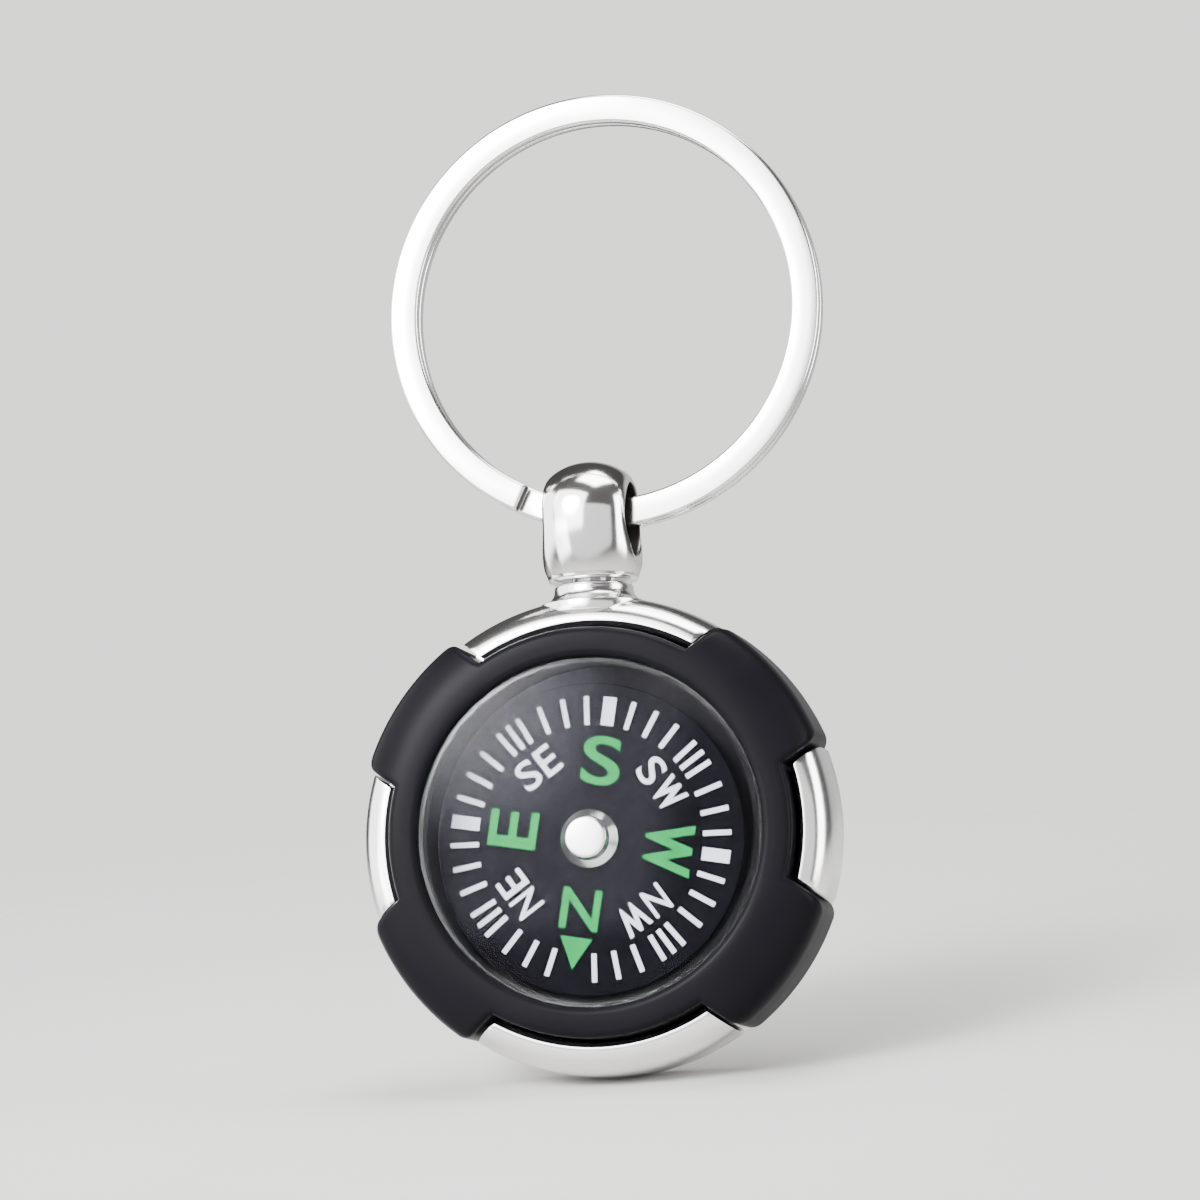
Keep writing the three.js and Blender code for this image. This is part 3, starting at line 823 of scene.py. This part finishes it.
def onCard(sizes, angle):
    # the card's face seen from the front: local X to the right, and local Y outwards
    # at an angle that is clockwise from the top
    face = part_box("dial_card")[0].y - sizes["print"] * mm / 2
    stand = Matrix.Rotation(fullTurn / 4, 4, "X")
    turn = Matrix.Rotation(math.radians(angle), 4, alongY)
    return Matrix.Translation(Vector((cardCentre.x, face, cardCentre.z))) @ turn @ stand


def addMark(bm, sizes, angle, width, inner, outer):
    size = Matrix.Diagonal((width * mm, (outer - inner) * mm, sizes["print"] * mm, 1))
    middle = Matrix.Translation(Vector((0, (inner + outer) / 2 * mm, 0)))
    bmesh.ops.create_cube(bm, size=1, matrix=onCard(sizes, angle) @ middle @ size)


def makeTicks(sizes):
    # one each ten degrees and one halfway between the letters, with the arrow in the first place
    bm = bmesh.new()
    for step in [*range(10, 360, 10), *range(45, 360, 90)]:
        wide = sizes["tickThick"] if step % 90 == 0 else sizes["tickWide"]
        addMark(bm, sizes, sizes["north"] + step, wide, sizes["tickIn"], sizes["tickOut"])
    return looseObject("dialTicks", bm)


def letterMesh(letter, height, width, sizes):
    curve = bpy.data.curves.new("letters", "FONT")
    curve.body = letter
    curve.size = height
    curve.offset = letterBold[letter] * height
    curve.extrude = sizes["print"] / 2
    obj = bpy.data.objects.new("letters", curve)
    bpy.context.scene.collection.objects.link(obj)
    bpy.context.view_layer.update()
    mesh = bpy.data.meshes.new_from_object(obj.evaluated_get(bpy.context.evaluated_depsgraph_get()))
    bpy.data.objects.remove(obj)
    across = [vert.co.x for vert in mesh.vertices]
    upward = [vert.co.y for vert in mesh.vertices]
    left, right, low, high = min(across), max(across), min(upward), max(upward)
    centre = Matrix.Translation(Vector((-(left + right) / 2, -(low + high) / 2, 0)))
    size = Matrix.Diagonal((width / (right - left) * mm, height / (high - low) * mm, mm, 1))
    mesh.transform(size @ centre)
    return mesh


def addLetter(bm, sizes, angle, letter, spot, height, width):
    mesh = letterMesh(letter, height, width, sizes)
    place = Matrix.Translation(Vector((spot[0], spot[1], 0)) * mm)
    mesh.transform(onCard(sizes, sizes["north"] + angle) @ place)
    bm.from_mesh(mesh)
    bpy.data.meshes.remove(mesh)


def makeGreenLetters(sizes, letters):
    bm = bmesh.new()
    for angle, letter, middle, height, width in letters:
        addLetter(bm, sizes, angle, letter, (0, middle), height, width)
    return looseObject("letterGreen", bm)


def makeWhiteLetters(sizes, words, widths):
    bm = bmesh.new()
    for angle, word in words:
        first, second = (widths[letter] for letter in word)
        start = -(first + sizes["whiteSpace"] + second) / 2
        middles = (start + first / 2, start + first + sizes["whiteSpace"] + second / 2)
        for letter, across in zip(word, middles):
            spot = (across, sizes["whiteMiddle"])
            addLetter(bm, sizes, angle, letter, spot, sizes["whiteHeight"], widths[letter])
    return looseObject("letterWhite", bm)


def makeArrow(sizes):
    bm = bmesh.new()
    half = sizes["arrowWide"] / 2
    corners = [(-half, sizes["arrowIn"]), (half, sizes["arrowIn"]), (0, sizes["arrowOut"])]
    lower = [bm.verts.new(Vector((x, y, -sizes["print"] / 2)) * mm) for x, y in corners]
    made = bmesh.ops.extrude_face_region(bm, geom=[bm.faces.new(lower)])["geom"]
    raised = [item for item in made if isinstance(item, bmesh.types.BMVert)]
    bmesh.ops.translate(bm, verts=raised, vec=(0, 0, sizes["print"] * mm))
    bmesh.ops.recalc_face_normals(bm, faces=bm.faces[:])
    bmesh.ops.transform(bm, verts=bm.verts[:], matrix=onCard(sizes, sizes["north"]))
    return looseObject("northArrow", bm)


dress(makeCard(cardSizes), "card", cardBlack, ["dial_card"], sharp=30)
dress(makeTicks(cardSizes), "card", inkWhite, sharp=30)
dress(makeGreenLetters(cardSizes, greenLetters), "card", inkGreen, sharp=30)
dress(makeWhiteLetters(cardSizes, whiteWords, whiteWidths), "card", inkWhite, sharp=30)
dress(makeArrow(cardSizes), "card", inkGreen, sharp=30)
print("card made")


# Hub cap: the silver cap over the card's bearing

hubSizes = {
    "top": 1.45, "band": 0.3, "bandEdge": 0.12, "collar": 0.45, "topEdge": 0.2, "footEdge": 0.06,
    "collarEdge": 0.08, "wall": 0.45, "socket": 1.0, "steps": 72,
}


def makeHub(sizes):
    low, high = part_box("hub_cap")
    wide = (high.x - low.x) / 2 / mm
    top, foot = low.y / mm, high.y / mm
    inside = top + sizes["wall"]
    band = foot - sizes["band"]
    profile = [
        (sizes["socket"], foot, 0), (wide, foot, sizes["footEdge"]), (wide, band, sizes["bandEdge"]),
        (sizes["top"], band - sizes["collar"], sizes["collarEdge"]), (sizes["top"], top, sizes["topEdge"]),
        (0, top, 0), (0, inside, 0), (sizes["socket"], inside, 0),
    ]
    turned = spunAbout(alongY, cardCentre, profile, sizes["steps"], closed=True)
    return looseObject("hubCapTurned", turned)


dress(makeHub(hubSizes), "card", nickelSatin, ["hub_cap"], sharp=35)
print("hub made")


# Inner pieces keep their own shapes and get their finish

innerFinish = {
    "swivel_pin": steelPlain, "pin_washer": steelPlain, "pivot_needle": steelPlain,
    "capsule_base": plasticBlack, "lens_gasket": rubberBlack, "adhesive_pad": foamGrey,
    "card_magnet": magnetGrey, "pivot_jewel": jewelRed,
}
for nodeName, finish in innerFinish.items():
    nodeMesh = frame["nodes"][nodeName].data
    nodeMesh.materials.clear()
    nodeMesh.materials.append(finish)
print("inner pieces finished")


# Stage: a pale floor, tipped towards the low camera so that it shows the part's shadow

stageSizes = {
    "slope": 14.0, "reach": 1500.0, "touch": 1.3, "below": 0.02, "clearFrom": 35.0, "clearTo": 170.0,
}
floorTones = ((0.4, 0.395, 0.387), (0.415, 0.41, 0.402))


def makeFloor(sizes):
    ground = cadBox[0].z / mm - sizes["below"]
    contact = Vector((caseCentre.x, sizes["touch"] * mm, ground * mm))
    bm = bmesh.new()
    bmesh.ops.create_grid(bm, x_segments=1, y_segments=1, size=sizes["reach"] * mm)
    tip = Matrix.Rotation(math.radians(sizes["slope"]), 3, "X")
    bmesh.ops.rotate(bm, verts=bm.verts[:], cent=(0, 0, 0), matrix=tip)
    bmesh.ops.translate(bm, verts=bm.verts[:], vec=contact)
    floor = looseObject("paleFloor", bm)
    paper = speckled(
        "floorPaper", floorTones, (0.8, 0.9), cloud=40.0, fine=2000.0, bump=0.02, values={},
    )
    tree = paper.node_tree
    away = distanceFrom(tree, contact)
    solid = mapped(tree, away, 1, 0, sizes["clearFrom"] * mm, sizes["clearTo"] * mm)
    tree.links.new(solid, tree.nodes["Principled BSDF"].inputs["Alpha"])
    floor.data.materials.append(paper)
    floor.data.shade_smooth()


makeFloor(stageSizes)
print("floor made")


# Camera at the photograph's angle

shot = {
    "azimuth": 12.0, "elevation": -7.5, "roll": 2.3, "distance": 450.0, "pixelsPerMm": 14.65,
    "pixels": 1200, "aim": (0.0, 0.0, -32.0), "aimPixel": (594.0, 588.0), "sensor": 36.0,
    "clip": (0.01, 10),  # in metres
}


def makeCamera(values):
    a, e = math.radians(values["azimuth"]), math.radians(values["elevation"])
    back = Vector((math.sin(a) * math.cos(e), -math.cos(a) * math.cos(e), math.sin(e)))
    level = Vector((math.cos(a), math.sin(a), 0))
    rise = back.cross(level)
    r = math.radians(values["roll"])
    right = level * math.cos(r) - rise * math.sin(r)
    up = level * math.sin(r) + rise * math.cos(r)
    middle = values["pixels"] / 2
    slideRight = (middle - values["aimPixel"][0]) / values["pixelsPerMm"]
    slideUp = (values["aimPixel"][1] - middle) / values["pixelsPerMm"]
    spot = Vector(values["aim"]) + back * values["distance"] + right * slideRight + up * slideUp
    data = bpy.data.cameras.new("shot")
    data.sensor_width = values["sensor"]
    data.lens = values["sensor"] * values["pixelsPerMm"] * values["distance"] / values["pixels"]
    data.clip_start, data.clip_end = values["clip"]
    camera = bpy.data.objects.new("shot", data)
    turn = Matrix((right, up, back)).transposed().to_4x4()
    camera.matrix_world = Matrix.Translation(spot * mm) @ turn
    bpy.context.scene.collection.objects.link(camera)
    bpy.context.scene.camera = camera


makeCamera(shot)


# Light: soft boxes on all sides that fade to their edges, in a room that is darker behind and below

lamps = {
    "keyPanel": {"turn": -34.5, "lift": 22, "size": (760, 660), "glow": 6.4, "fade": 0.2},
    "lowPanel": {"turn": -54, "lift": -9, "size": (400, 280), "glow": 6.0, "fade": 0.4},
    "keyCore": {"turn": -29, "lift": 21, "size": (400, 380), "glow": 86.0, "fade": 1.0},
    "leftPanel": {"turn": -94, "lift": 14, "size": (620, 600), "glow": 4.5, "fade": 0.3},
    "topPanel": {"turn": 60, "lift": 80, "size": (440, 440), "glow": 14.0, "fade": 0.4},
    "rightPanel": {"turn": 83, "lift": 8, "size": (330, 600), "glow": 12.0, "fade": 0.4},
    "frontFill": {"turn": 0, "lift": -5, "size": (1700, 520), "glow": 1.4, "fade": 0.25},
    "backPanel": {"turn": 160, "lift": 14, "size": (900, 560), "glow": 0.7, "fade": 0.6},
}
lampPlace = {"distance": 560.0, "aim": (0.0, 0.0, -35.0)}
lampMiddle = 0.5  # of the lamp's own square
room = {
    "front": 0.15, "back": 0.08, "low": -0.03, "high": 0.2, "turnFrom": -0.35, "turnTo": 0.25,
    "seen": 1.6, "tint": (1.0, 0.99, 0.97, 1),
}


def makeLamps(values, around):
    # turn is from the front towards the right, and lift from the level
    aim = Vector(around["aim"])
    for name, lamp in values.items():
        a, e = math.radians(lamp["turn"]), math.radians(lamp["lift"])
        away = Vector((math.sin(a) * math.cos(e), -math.cos(a) * math.cos(e), math.sin(e)))
        data = bpy.data.lights.new(name, "AREA")
        data.shape = "RECTANGLE"
        data.size, data.size_y = lamp["size"][0] * mm, lamp["size"][1] * mm
        data.energy = lamp["glow"] * math.pi * data.size * data.size_y
        data.use_nodes = True
        tree = data.node_tree
        spot = addNode(tree, "ShaderNodeNewGeometry")
        shifted = addNode(tree, "ShaderNodeVectorMath", operation="SUBTRACT")
        shifted.inputs[1].default_value = (lampMiddle, lampMiddle, 0)
        sides = addNode(tree, "ShaderNodeVectorMath", operation="ABSOLUTE")
        split = addNode(tree, "ShaderNodeSeparateXYZ")
        fades = []
        tree.links.new(spot.outputs["Parametric"], shifted.inputs[0])
        tree.links.new(shifted.outputs["Vector"], sides.inputs[0])
        tree.links.new(sides.outputs["Vector"], split.inputs["Vector"])
        for side in ("X", "Y"):
            fade = addNode(tree, "ShaderNodeMapRange", interpolation_type="SMOOTHSTEP")
            fade.inputs["From Min"].default_value = lampMiddle
            fade.inputs["From Max"].default_value = lampMiddle * (1 - lamp["fade"])
            tree.links.new(split.outputs[side], fade.inputs["Value"])
            fades.append(fade.outputs["Result"])
        both = addNode(tree, "ShaderNodeMath", operation="MULTIPLY")
        tree.links.new(fades[0], both.inputs[0])
        tree.links.new(fades[1], both.inputs[1])
        tree.links.new(both.outputs["Value"], tree.nodes["Emission"].inputs["Strength"])
        obj = bpy.data.objects.new(name, data)
        obj.location = (aim + away * around["distance"]) * mm
        obj.rotation_mode = "QUATERNION"
        obj.rotation_quaternion = (-away).to_track_quat("-Z", "Y")
        obj.visible_camera = False
        bpy.context.scene.collection.objects.link(obj)


def makeRoom(values):
    world = bpy.data.worlds.new("studio")
    world.use_nodes = True
    tree = world.node_tree
    spot = addNode(tree, "ShaderNodeTexCoord")
    split = addNode(tree, "ShaderNodeSeparateXYZ")
    tree.links.new(spot.outputs["Generated"], split.inputs["Vector"])
    ahead = mapped(tree, split.outputs["Y"], 1, 0, values["turnFrom"], values["turnTo"])
    above = mapped(tree, split.outputs["Z"], 0, 1, values["low"], values["high"])
    both = addNode(tree, "ShaderNodeMath", operation="MULTIPLY")
    tree.links.new(ahead, both.inputs[0])
    tree.links.new(above, both.inputs[1])
    shade = mapped(tree, both.outputs["Value"], values["back"], values["front"], 0, 1)
    path = addNode(tree, "ShaderNodeLightPath")
    seen = addNode(tree, "ShaderNodeMix", data_type="FLOAT")
    seen.inputs["B"].default_value = values["seen"]
    tree.links.new(path.outputs["Is Camera Ray"], seen.inputs["Factor"])
    tree.links.new(shade, seen.inputs["A"])
    tree.links.new(seen.outputs["Result"], tree.nodes["Background"].inputs["Strength"])
    tree.nodes["Background"].inputs["Color"].default_value = values["tint"]
    bpy.context.scene.world = world


makeLamps(lamps, lampPlace)
makeRoom(room)
print("camera and light made")
